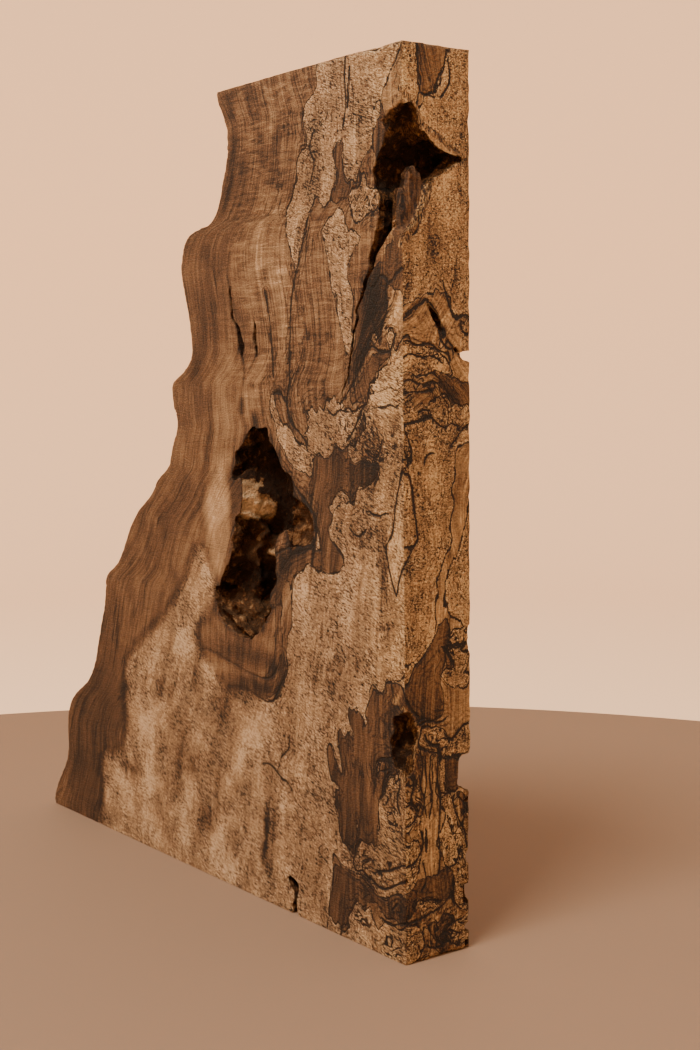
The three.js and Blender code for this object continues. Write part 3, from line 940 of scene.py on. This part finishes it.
def markFigure(piece):
    # what each point of the surface belongs to, for the finish to read
    where = places(piece)
    out = facings(piece)
    x, y, z = where.T
    frontPlace, edgePlace = np.stack([x, z], 1), np.stack([y, z], 1)
    through = (y - slabLow[1]) / (slabHigh[1] - slabLow[1])
    drift = figureLook["backDrift"] * through
    wander = np.stack([x, z, x * 0], 1)
    shiftX = drift * smoothNoise(wander, 0.07, 31) + figureLook["backShift"] * through
    shiftZ = drift * smoothNoise(wander, 0.07, 32)
    front = readFigure(np.stack([x + shiftX, z + shiftZ], 1), frontFigure)
    edge = readFigure(edgePlace, edgeFigure)
    onEdge = (x > slabHigh[0] - 0.0012) & (out[:, 0] > 0.5)
    figure = {name: np.where(onEdge, edge[name], front[name]) for name in front}

    # how far the wood lies from its living edge, how deep in a hollow, and what shows in the pocket
    inward = x - liveEdgeAt(z) + 0.012 * smoothNoise(where, 0.05, 33)
    figure["band"] = np.where(onEdge, 0, 1 - ramp(inward, 0.035, 0.1))
    # the depth below the sawn faces, which the finish turns into painted shade in the hollows
    figure["hollow"] = np.clip(hollowDepth(where) / mm, 0, 30)
    figure["glow"] = ellipses(frontPlace, frontFigure["islands"]) * ramp(-y, -0.004, 0.006)
    figure["rust"] = ellipses(frontPlace, frontFigure["rust"]) * ramp(-y, -0.008, 0.002)

    # the splinter is brown wood
    splinter = splinterShare(where) * (x < slabHigh[0] - 0.0015) * ramp(x, 0.2255, 0.2275)
    figure["hollow"] *= 1 - splinter
    figure["darkEdge"] = np.where(splinter > 0.3, 0.008, figure["darkEdge"])
    figure["paleEdge"] = np.where(splinter > 0.3, -0.008, figure["paleEdge"])
    figure["tone"] -= figureLook["splinterTone"] * splinter

    # torn rims of the hollows, golden fibres that are partly a painted highlight, and the stain round the
    # pocket
    ring = np.zeros(len(where))
    for outline in (slabShape["cornerVoid"], slabShape["rotPocket"]):
        far = np.abs(patchField(edgePlace, [outline], figureLook["reach"]))
        ring = np.maximum(ring, np.exp(-(far / figureLook["tornRimAndHighlight"]) ** 2) * (x > slabHigh[0] - 0.004))
    onFront = (y < 0) * ~onEdge
    figure["tornRimAndHighlight"] = np.maximum(ring, ellipses(frontPlace, frontFigure["torn"]) * onFront)
    hollows = [slabShape[name] for name in ("pocket", "bowl", "lobe")]
    stained = around(frontPlace, hollows, figureLook["stain"])
    figure["tone"] -= stained * onFront * (0.2 + 0.12 * smoothNoise(where, 0.008, 35))

    # where the wood is golden, curly and sharply drawn
    figure["gold"] = np.where(onEdge, 1.0, 0.6 * ramp(x, 0.17, 0.234))
    figure["curlHere"] = np.where(onEdge, 0.3, ramp(x, 0.03, 0.08) * ramp(z, 0.3, 0.36))
    figure["crisp"] = np.where(onEdge, 1.0, ramp(x + 0.02 * smoothNoise(where, 0.04, 34), 0.035, 0.115))
    writeVector(piece, "flow", grainCoordinates(where, onEdge))
    for name, values in figure.items():
        writeValue(piece, name, values * (1000 if name in figureLook["inMillimetres"] else 1))


# the wood's shades from darkest to lightest: place, then red, green and blue out of 255
woodTones = [
    (0.00, (14, 10, 7)), (0.12, (38, 25, 16)), (0.24, (65, 44, 27)), (0.36, (91, 63, 41)),
    (0.48, (114, 85, 57)), (0.60, (132, 106, 77)), (0.74, (153, 124, 92)), (0.88, (180, 151, 117)),
    (1.00, (204, 178, 144)),
]


def linear(colour):
    return tuple(c / 255 / 12.92 if c < 11 else ((c / 255 + 0.055) / 1.055) ** 2.4 for c in colour)


class Bench:
    # lays out nodes for one finish
    def __init__(self, name):
        self.finish = bpy.data.materials.new(name)
        self.finish.use_nodes = True
        self.nodes = self.finish.node_tree.nodes
        self.links = self.finish.node_tree.links
        self.shader = self.nodes["Principled BSDF"]
        self.flow = self.attribute("flow", "Vector")
        self.body = self.nodes.new("ShaderNodeTexCoord").outputs["Object"]

    def join(self, source, target):
        if isinstance(source, (int, float, tuple)):
            target.default_value = source
        else:
            self.links.new(source, target)

    def attribute(self, name, output):
        node = self.nodes.new("ShaderNodeAttribute")
        node.attribute_name = name
        return node.outputs[output]

    def value(self, name):
        return self.attribute(name, "Fac")

    def math(self, kind, a, b=0.0):
        node = self.nodes.new("ShaderNodeMath")
        node.operation = kind
        self.join(a, node.inputs[0])
        self.join(b, node.inputs[1])
        return node.outputs[0]

    def add(self, *values):
        total = values[0]
        for value in values[1:]:
            total = self.math("ADD", total, value)
        return total

    def times(self, a, b):
        return self.math("MULTIPLY", a, b)

    def swing(self, value, reach):
        # a 0 to 1 pattern turned into one that swings both ways
        return self.times(self.math("SUBTRACT", value, 0.5), reach)

    def pattern(self, name):
        # one of the patterns of the wood, from 0 to 1
        follows, sizes, detail, rough, bend = woodPatterns[name]
        place = self.nodes.new("ShaderNodeMapping")
        place.vector_type = "TEXTURE"
        place.inputs["Rotation"].default_value = (0, math.radians(slant if follows == "slanted" else 0), 0)
        place.inputs["Scale"].default_value = tuple(size * mm for size in sizes)
        self.join(self.flow if follows == "grain" else self.body, place.inputs["Vector"])
        node = self.nodes.new("ShaderNodeTexNoise")
        node.inputs["Scale"].default_value = 1.0
        node.inputs["Detail"].default_value = detail
        node.inputs["Roughness"].default_value = rough
        node.inputs["Distortion"].default_value = bend
        self.join(place.outputs[0], node.inputs["Vector"])
        return node.outputs["Fac"]

    def fade(self, value, low, high, start=0.0, end=1.0):
        node = self.nodes.new("ShaderNodeMapRange")
        node.interpolation_type = "SMOOTHSTEP"
        names = ("Value", "From Min", "From Max", "To Min", "To Max")
        for source, name in zip((value, low, high, start, end), names):
            self.join(source, node.inputs[name])
        return node.outputs["Result"]

    def blend(self, share, a, b):
        node = self.nodes.new("ShaderNodeMix")
        node.data_type = "FLOAT"
        self.join(share, node.inputs[0])
        self.join(a, node.inputs[2])
        self.join(b, node.inputs[3])
        return node.outputs[0]

    def blendColour(self, share, a, b, kind="MIX"):
        node = self.nodes.new("ShaderNodeMix")
        node.data_type = "RGBA"
        node.blend_type = kind
        self.join(share, node.inputs[0])
        self.join(a, node.inputs[6])
        self.join(b, node.inputs[7])
        return node.outputs[2]

    def tones(self, value, stops):
        node = self.nodes.new("ShaderNodeValToRGB")
        stripe = node.color_ramp
        while len(stripe.elements) < len(stops):
            stripe.elements.new(0.5)
        for element, (place, colour) in zip(stripe.elements, stops):
            element.position = place
            element.color = (*colour, 1)
        self.join(value, node.inputs["Fac"])
        return node.outputs["Color"]


# The patterns of the wood: what each one follows, its sizes in millimetres across, through and along, how
# many finer layers it has, how rough it is and how much it is bent.
woodPatterns = {
    "mottle": ("body", (16, 16, 22), 4, 0.6, 0),
    "slow": ("grain", (13, 13, 22), 2, 0.5, 0),
    "teeth": ("grain", (3.0, 3.0, 9), 3, 0.55, 0),
    "fray": ("body", (1.3, 1.3, 1.3), 2, 0.5, 0),
    "lineThickness": ("body", (12, 12, 12), 3, 0.5, 0),
    "swirls": ("grain", (9, 9, 13), 2, 0.5, 0.8),
    "echoes": ("body", (20, 20, 26), 2, 0.5, 0),
    "hair": ("grain", (1.0, 1.0, 30), 3, 0.6, 0.3),
    "grain": ("grain", (2.6, 2.6, 60), 3, 0.6, 0.4),
    "rings": ("grain", (8, 8, 110), 3, 0.55, 0.5),
    "drift": ("grain", (17, 17, 48), 3, 0.55, 0.6),
    "vein": ("grain", (3.4, 3.4, 38), 4, 0.6, 0.9),
    "curl": ("grain", (24, 24, 3.2), 2, 0.55, 0.7),
    "cloud": ("grain", (45, 45, 60), 2, 0.5, 0),
    "chatter": ("body", (1.6, 1.6, 1.0), 3, 0.65, 0),
    "dashes": ("slanted", (3.4, 1.2, 0.85), 2, 0.6, 0.35),
    "dashCrowd": ("body", (18, 18, 18), 2, 0.5, 0),
    "specks": ("slanted", (3.2, 2.0, 1.6), 2, 0.5, 0.5),
    "threads": ("grain", (30, 30, 1.5), 1, 0.5, 0.6),
    # painted highlight specks
    "paintedGlints": ("slanted", (2.6, 1.2, 1.0), 2, 0.5, 0.4),
    "crumbs": ("body", (5, 5, 6), 4, 0.65, 0),
    "fibres": ("body", (1.0, 1.0, 3.6), 3, 0.6, 0.8),
}
slant = 22  # degrees by which the dashes lean

finishLook = {
    "plain": 0.475,  # how light the plain, the brown and the pale wood are
    "brown": 0.335,
    "pale": 0.795,
    # how dark the hollows are: partly their dark rotten wood, partly painted shade
    "hollow": 0.12,
    "blackLine": 0.015,
    "streaks": {"hair": 0.17, "grain": 0.22, "rings": 0.18},
    "clouding": {"chatter": 0.17, "mottle": 0.42, "cloud": 0.32},
    "marks": {"vein": -0.15, "echo": -0.24, "drawnSoft": -0.1, "flowLine": -0.15},
    "dashes": -0.45,
    "specks": -0.45,
    "softBorder": -0.16,
    "band": -0.08,  # the browner band along the living edge
    "goldTint": (1.0, 0.94, 0.74, 1),
    "relief": 0.0055,
}


def spaltedMaple():
    bench = Bench("spaltedMaple")
    crisp = bench.value("crisp")
    gold = bench.value("gold")
    mottle = bench.pattern("mottle")
    tone = bench.times(bench.value("tone"), bench.add(bench.swing(mottle, 1.6), 1.0))

    # borders of the patches
    slow = bench.pattern("slow")
    teeth = bench.pattern("teeth")
    fray = bench.pattern("fray")
    wander = bench.add(bench.swing(slow, 4.0), bench.swing(teeth, 4.5), bench.swing(fray, 1.4))
    palePlace = bench.add(bench.value("paleEdge"), wander)
    darkPlace = bench.add(bench.value("darkEdge"), wander)
    edgeWidth = bench.blend(crisp, 5.0, 0.25)
    edgeStart = bench.times(edgeWidth, -1.0)
    pale = bench.fade(palePlace, edgeStart, edgeWidth)
    dark = bench.fade(darkPlace, edgeStart, edgeWidth)

    # black lines where patches meet, drawn lines, and fine curls in the busy places
    thickness = bench.fade(bench.pattern("lineThickness"), 0.34, 0.66, 0.35, 1.0)
    paleFar = bench.math("ABSOLUTE", palePlace)
    darkFar = bench.math("ABSOLUTE", darkPlace)
    paleLine = bench.fade(bench.math("DIVIDE", paleFar, thickness), 0.4, 1.1, 1, 0)
    darkLine = bench.fade(bench.math("DIVIDE", darkFar, thickness), 0.3, 0.9, 0.9, 0)
    drawnPlace = bench.add(bench.value("lineSide"), bench.swing(teeth, 2.4), bench.swing(fray, 1.0))
    drawnFar = bench.math("ABSOLUTE", drawnPlace)
    drawnThick = bench.add(bench.times(thickness, 0.7), 0.42)
    drawnLine = bench.fade(bench.math("DIVIDE", drawnFar, drawnThick), 0.4, 1.05, 1, 0)
    drawnLine = bench.times(drawnLine, bench.fade(bench.value("blackLine"), 2.0, 3.0, 1, 0))
    drawnLine = bench.times(drawnLine, bench.fade(crisp, 0.2, 0.9, 0.3, 1))
    drawnSoft = bench.fade(bench.value("blackLine"), 0, 3.2, 1, 0)
    swirlField = bench.pattern("swirls")
    swirlPlace = bench.math("ABSOLUTE", bench.swing(bench.math("FRACT", bench.times(swirlField, 7.0)), 1.0))
    swirls = bench.fade(bench.value("swirls"), 0.15, 0.6)
    swirlLine = bench.times(bench.fade(swirlPlace, 0.05, 0.13, 1, 0), swirls)
    borders = bench.times(bench.math("MAXIMUM", paleLine, darkLine), bench.fade(crisp, 0.45, 0.85))
    black = bench.math("MAXIMUM", borders, bench.math("MAXIMUM", drawnLine, swirlLine))
    softBorder = bench.times(bench.fade(paleFar, 0.5, 8, 1, 0), bench.fade(crisp, 0.35, 0.75, 1, 0))

    # thin brown lines that repeat the shape of a patch inside it
    echoAt = bench.math("FRACT", bench.times(bench.add(palePlace, bench.swing(slow, 5)), 0.27))
    echo = bench.fade(bench.math("ABSOLUTE", bench.swing(echoAt, 1.0)), 0.06, 0.2, 1, 0)
    echoWhere = bench.fade(bench.pattern("echoes"), 0.46, 0.58)
    echo = bench.times(bench.times(echo, echoWhere), bench.fade(crisp, 0.5, 1))

    # grain that flows along the drawn lines
    flowAt = bench.add(bench.times(bench.value("blackLine"), 0.34), bench.times(slow, 2.4))
    flowAt = bench.math("FRACT", flowAt)
    flowLine = bench.fade(bench.math("ABSOLUTE", bench.swing(flowAt, 1.0)), 0.05, 0.32, 1, 0)
    flowWhere = bench.times(bench.fade(bench.value("blackLine"), 5, 11.5, 1, 0), bench.fade(crisp, 0.5, 1))
    flowLine = bench.times(flowLine, flowWhere)

    # grain lines, rings, curl, mottle and short torn dashes
    hair = bench.fade(bench.pattern("hair"), 0.3, 0.7)
    grain = bench.fade(bench.pattern("grain"), 0.3, 0.7)
    rings = bench.fade(bench.pattern("rings"), 0.3, 0.7)
    drift = bench.fade(bench.pattern("drift"), 0.32, 0.68)
    vein = bench.fade(bench.pattern("vein"), 0.57, 0.66)
    curl = bench.fade(bench.pattern("curl"), 0.34, 0.66)
    cloud = bench.pattern("cloud")
    chatter = bench.fade(bench.pattern("chatter"), 0.3, 0.7)
    dashField = bench.pattern("dashes")
    dashCrowd = bench.fade(bench.pattern("dashCrowd"), 0.35, 0.65, 0.5, 1.15)
    dashes = bench.times(bench.fade(dashField, 0.46, 0.62), dashCrowd)
    specks = bench.fade(bench.pattern("specks"), 0.60, 0.67)
    specks = bench.times(specks, bench.fade(crisp, 0.3, 1))

    look = finishLook["streaks"]
    streaks = bench.add(bench.swing(hair, look["hair"]), bench.swing(grain, look["grain"]))
    streaks = bench.add(streaks, bench.swing(rings, look["rings"]))
    streaks = bench.times(streaks, bench.add(bench.blend(crisp, 0.52, 1.0), bench.times(gold, 0.35)))
    look = finishLook["clouding"]
    fine = bench.add(bench.swing(chatter, look["chatter"]), bench.swing(mottle, look["mottle"]))
    fine = bench.add(fine, bench.swing(cloud, look["cloud"]))
    fine = bench.times(fine, bench.add(1.0, bench.times(gold, 0.35)))
    look = finishLook["marks"]
    marks = bench.add(bench.times(vein, look["vein"]), bench.times(echo, look["echo"]))
    marks = bench.add(marks, bench.times(drawnSoft, look["drawnSoft"]))
    marks = bench.add(marks, bench.times(flowLine, look["flowLine"]))
    curlReach = bench.add(bench.times(bench.value("curlHere"), 0.14), 0.03)
    threads = bench.fade(bench.pattern("threads"), 0.60, 0.68)
    threads = bench.times(bench.times(threads, bench.value("curlHere")), 0.13)
    plain = bench.add(tone, streaks, fine, bench.times(bench.swing(curl, 1.0), curlReach), threads, marks)
    plain = bench.add(plain, bench.times(gold, 0.22), finishLook["plain"])
    brown = bench.add(bench.times(tone, 0.6), bench.times(streaks, 0.85), bench.times(fine, 0.75))
    brown = bench.add(brown, finishLook["brown"], bench.times(marks, 0.8))
    # painted highlights: small bright specks standing in for lit torn fibres on the pale wood
    paintedGlints = bench.fade(bench.pattern("paintedGlints"), 0.58, 0.68)
    light = bench.add(tone, bench.times(streaks, 0.55), bench.times(fine, 1.5))
    light = bench.add(light, bench.times(dashes, finishLook["dashes"]))
    light = bench.add(light, bench.times(specks, finishLook["specks"]))
    light = bench.add(light, marks, bench.swing(curl, 0.08), finishLook["pale"])
    light = bench.add(light, bench.times(bench.swing(drift, 0.3), bench.fade(crisp, 0, 1, 1, 0.4)))
    light = bench.add(light, bench.times(paintedGlints, 0.2), bench.times(gold, 0.06))
    light = bench.add(light, bench.times(bench.fade(paleFar, 0, 4, 1, 0), bench.times(crisp, 0.08)))
    shade = bench.blend(dark, plain, brown)
    shade = bench.blend(pale, shade, light)
    shade = bench.add(shade, bench.times(softBorder, finishLook["softBorder"]))
    shade = bench.add(shade, bench.times(bench.value("band"), finishLook["band"]))
    # more painted highlight specks on the golden wood
    shade = bench.add(shade, bench.times(bench.times(paintedGlints, gold), 0.08))

    # hollows are near black, partly for their dark rotten wood and partly as painted shade that deepens below
    # the sawn faces, with brown crumbs, pale islands and a golden torn rim that is partly a painted highlight
    crumbs = bench.pattern("crumbs")
    depth = bench.value("hollow")
    rotAndShadowMask = bench.fade(bench.add(depth, bench.swing(crumbs, 3.0)), 0.35, 1.3)
    # the crumbs thin out with depth, so deeper hollow floors get more painted shade
    clods = bench.fade(bench.add(crumbs, bench.times(depth, -0.006)), 0.44, 0.62)
    rotAndShadowTone = bench.add(bench.times(clods, 0.27), bench.times(bench.swing(chatter, 0.16), clods))
    rotAndShadowTone = bench.add(rotAndShadowTone, finishLook["hollow"])
    rust = bench.times(bench.value("rust"), bench.add(bench.swing(crumbs, 1.0), bench.swing(hair, 0.6), 0.85))
    rotAndShadowTone = bench.add(rotAndShadowTone, rust)
    island = bench.fade(bench.add(bench.value("glow"), bench.swing(crumbs, 0.9)), 0.36, 0.5)
    islandShade = bench.add(bench.times(bench.value("glow"), 0.72), bench.swing(mottle, 0.25))
    islandShade = bench.add(islandShade, bench.swing(hair, 0.16), 0.24)
    rotAndShadowTone = bench.blend(island, rotAndShadowTone, islandShade)
    shade = bench.blend(rotAndShadowMask, shade, rotAndShadowTone)
    shade = bench.blend(bench.times(black, 0.95), shade, finishLook["blackLine"])
    # the golden torn fibres along the rims are partly a painted highlight on the lit edges
    rim = bench.fade(bench.add(bench.value("tornRimAndHighlight"), bench.swing(crumbs, 1.2)), 0.35, 0.6)
    fibres = bench.fade(bench.pattern("fibres"), 0.38, 0.62)
    rimShare = bench.times(rim, bench.blend(rotAndShadowMask, 0.85, 0.3))
    shade = bench.blend(rimShare, shade, bench.add(bench.times(fibres, 0.85), 0.05))
    colour = bench.tones(shade, [(place, linear(tone)) for place, tone in woodTones])
    golden = bench.math("MAXIMUM", gold, rim)
    colour = bench.blendColour(golden, colour, finishLook["goldTint"], "MULTIPLY")
    bench.join(colour, bench.shader.inputs["Base Color"])

    # relief and sheen
    relief = bench.add(bench.swing(hair, 0.06), bench.swing(grain, 0.06), bench.swing(chatter, 0.11))
    relief = bench.add(relief, bench.times(bench.times(dashes, bench.fade(pale, 0, 1, 0.3, 1)), -0.15))
    relief = bench.add(relief, bench.times(black, -0.22), bench.swing(curl, 0.035), bench.swing(mottle, 0.2))
    relief = bench.add(relief, bench.times(rotAndShadowMask, bench.swing(crumbs, 1.6)))
    bump = bench.nodes.new("ShaderNodeBump")
    bump.inputs["Strength"].default_value = 0.9
    bump.inputs["Distance"].default_value = finishLook["relief"]
    bench.join(relief, bump.inputs["Height"])
    bench.join(bump.outputs["Normal"], bench.shader.inputs["Normal"])
    bench.join(bench.fade(shade, 0.1, 0.9, 0.74, 0.6), bench.shader.inputs["Roughness"])
    bench.join(bench.fade(rotAndShadowMask, 0, 1, 0.3, 0.08), bench.shader.inputs["Specular IOR Level"])
    return bench.finish


slab = makeSlab()
print("slab shaped")
markFigure(slab)
slab.data.materials.append(spaltedMaple())
print("figure marked and finish laid on")

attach(slab, "root")
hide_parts("burl_slab")


stageLook = {
    "floorColour": (0.235, 0.147, 0.092),
    "floorMiddle": (0.337, -0.25, 0.0),
    "floorRound": 0.99,
    "wallColour": (0.96, 0.67, 0.42),
    "wallGlow": 0.24,
    "wallRound": 2.1,  # radius of the wall
    "wallTall": 1.7,
    "coveRound": 0.6,  # the wall bends over into the ground
    "coveSteps": 10,
    "groundDrop": 0.001,  # keeps the pale ground just under the floor
    "keyPlace": (0.5, -1.05, 2.2),
    "keyAim": (0.05, 0, 0.25),
    "keySize": 0.75,
    "keyPower": 70,
    "keyColour": (1.0, 0.955, 0.86),
    "roomLight": 0.50,
    "roomColour": (1.0, 1.0, 0.98),
}


def plainFinish(name, colour, roughness):
    finish = bpy.data.materials.new(name)
    finish.use_nodes = True
    shader = finish.node_tree.nodes["Principled BSDF"]
    shader.inputs["Base Color"].default_value = (*colour, 1)
    shader.inputs["Roughness"].default_value = roughness
    return finish


def makeStage():
    # a plain round floor lies on a pale ground that bends up into a round pale wall
    bpy.ops.object.select_all(action="DESELECT")
    bpy.ops.mesh.primitive_circle_add(
        vertices=160, radius=stageLook["floorRound"], fill_type="NGON", location=stageLook["floorMiddle"]
    )
    floor = bpy.context.object
    floor.name = "floor"
    floor.data.materials.append(plainFinish("paleFloor", stageLook["floorColour"], 0.75))
    bpy.ops.object.select_all(action="DESELECT")
    cove = stageLook["coveRound"]
    flat = stageLook["wallRound"] - cove
    bpy.ops.mesh.primitive_circle_add(
        vertices=96, radius=flat, fill_type="NGON", location=(0, 0, -stageLook["groundDrop"])
    )
    wall = bpy.context.object
    wall.name = "wall"
    bpy.ops.object.mode_set(mode="EDIT")
    bpy.ops.mesh.select_mode(type="EDGE")
    bpy.ops.mesh.select_all(action="SELECT")
    bpy.ops.mesh.region_to_loop()
    reach, height = flat, 0.0
    for step in range(1, stageLook["coveSteps"] + 1):
        bend = math.radians(90) * step / stageLook["coveSteps"]
        nextReach = flat + cove * math.sin(bend)
        nextHeight = cove * (1 - math.cos(bend))
        bpy.ops.mesh.extrude_region_move(TRANSFORM_OT_translate={"value": (0, 0, nextHeight - height)})
        grow = nextReach / reach
        bpy.ops.transform.resize(value=(grow, grow, 1), center_override=(0, 0, 0))
        reach, height = nextReach, nextHeight
    rest = stageLook["wallTall"] - height
    bpy.ops.mesh.extrude_region_move(TRANSFORM_OT_translate={"value": (0, 0, rest)})
    bpy.ops.object.mode_set(mode="OBJECT")
    bpy.ops.object.shade_smooth()
    paint = plainFinish("paleWall", stageLook["wallColour"], 0.9)
    shader = paint.node_tree.nodes["Principled BSDF"]
    shader.inputs["Emission Color"].default_value = (*stageLook["wallColour"], 1)
    shader.inputs["Emission Strength"].default_value = stageLook["wallGlow"]
    wall.data.materials.append(paint)


def makeLight():
    bpy.ops.object.select_all(action="DESELECT")
    bpy.ops.object.light_add(type="AREA", location=stageLook["keyPlace"])
    key = bpy.context.object
    key.name = "keyLight"
    key.data.size = stageLook["keySize"]
    key.data.energy = stageLook["keyPower"]
    key.data.color = stageLook["keyColour"]
    aim = Vector(stageLook["keyAim"]) - Vector(stageLook["keyPlace"])
    key.rotation_euler = aim.to_track_quat("-Z", "Y").to_euler()
    world = bpy.data.worlds.new("room")
    bpy.context.scene.world = world
    world.use_nodes = True
    sky = world.node_tree.nodes["Background"]
    sky.inputs["Color"].default_value = (*stageLook["roomColour"], 1)
    sky.inputs["Strength"].default_value = stageLook["roomLight"]


cameraPlace = {
    "place": (0.947, -0.594, 0.347),
    "turn": 53.4,  # degrees round from looking along +Y
    "tilt": -5.18,
    "roll": 0.496,
    "lens": 54,
    "sensor": 36,
}


def makeCamera():
    bpy.ops.object.camera_add(location=cameraPlace["place"])
    camera = bpy.context.object
    camera.name = "camera"
    turn, tilt, roll = (math.radians(cameraPlace[k]) for k in ("turn", "tilt", "roll"))
    look = Vector((-math.sin(turn) * math.cos(tilt), math.cos(turn) * math.cos(tilt), math.sin(tilt)))
    camera.rotation_euler = look.to_track_quat("-Z", "Y").to_euler()
    camera.rotation_euler.rotate_axis("Z", -roll)
    camera.data.lens = cameraPlace["lens"]
    camera.data.sensor_width = cameraPlace["sensor"]
    camera.data.sensor_fit = "AUTO"
    bpy.context.scene.camera = camera


makeStage()
makeLight()
makeCamera()
print("stage, light and camera made")
